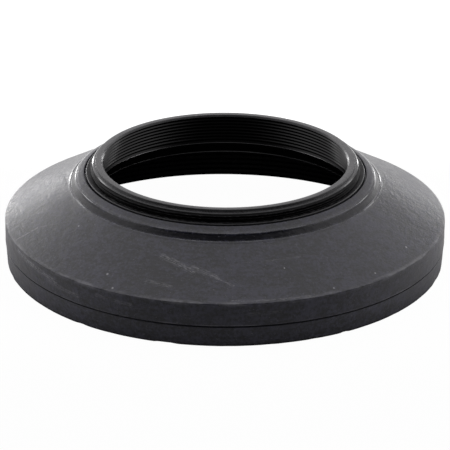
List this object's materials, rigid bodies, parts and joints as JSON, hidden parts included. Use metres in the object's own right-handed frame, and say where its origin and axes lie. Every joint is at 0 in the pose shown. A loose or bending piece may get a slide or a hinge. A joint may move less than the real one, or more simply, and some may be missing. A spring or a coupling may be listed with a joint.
{
  "type": "lens hood",
  "caption": "Wide-angle rubber lens hood: a shallow black rubber cone with an upright rim, held on a screw-in metal mount ring with a ribbed, flared bore.",
  "frame": {"origin": "centre of the wide mouth, on the plane that the rim rests on", "axes": "+Z along the lens axis, from the wide mouth to the filter thread; the part is round, so X and Y are free, and the clamp nut's two spanner slots lie along X"},
  "size_m": [0.1264, 0.1264, 0.0297],
  "materials": {
    "ring_metal": "black anodised, satin, worn bright along the lip and flange edges",
    "nut_metal": "black anodised, matte",
    "hood_rubber": "matte moulded rubber, greyed and mottled with age, scuffed on the cone and rim edge"
  },
  "bodies": {
    "mount": {"mount_ring": "ring_metal", "clamp_nut": "nut_metal"},
    "hood": {"rubber_hood": "hood_rubber"}
  },
  "joints": [
    {"name": "hood_turn", "type": "hinge", "parent": "mount", "child": "hood", "pos_m": [0, 0, 0.0237], "axis": [0, 0, 1], "continuous": true}
  ]
}
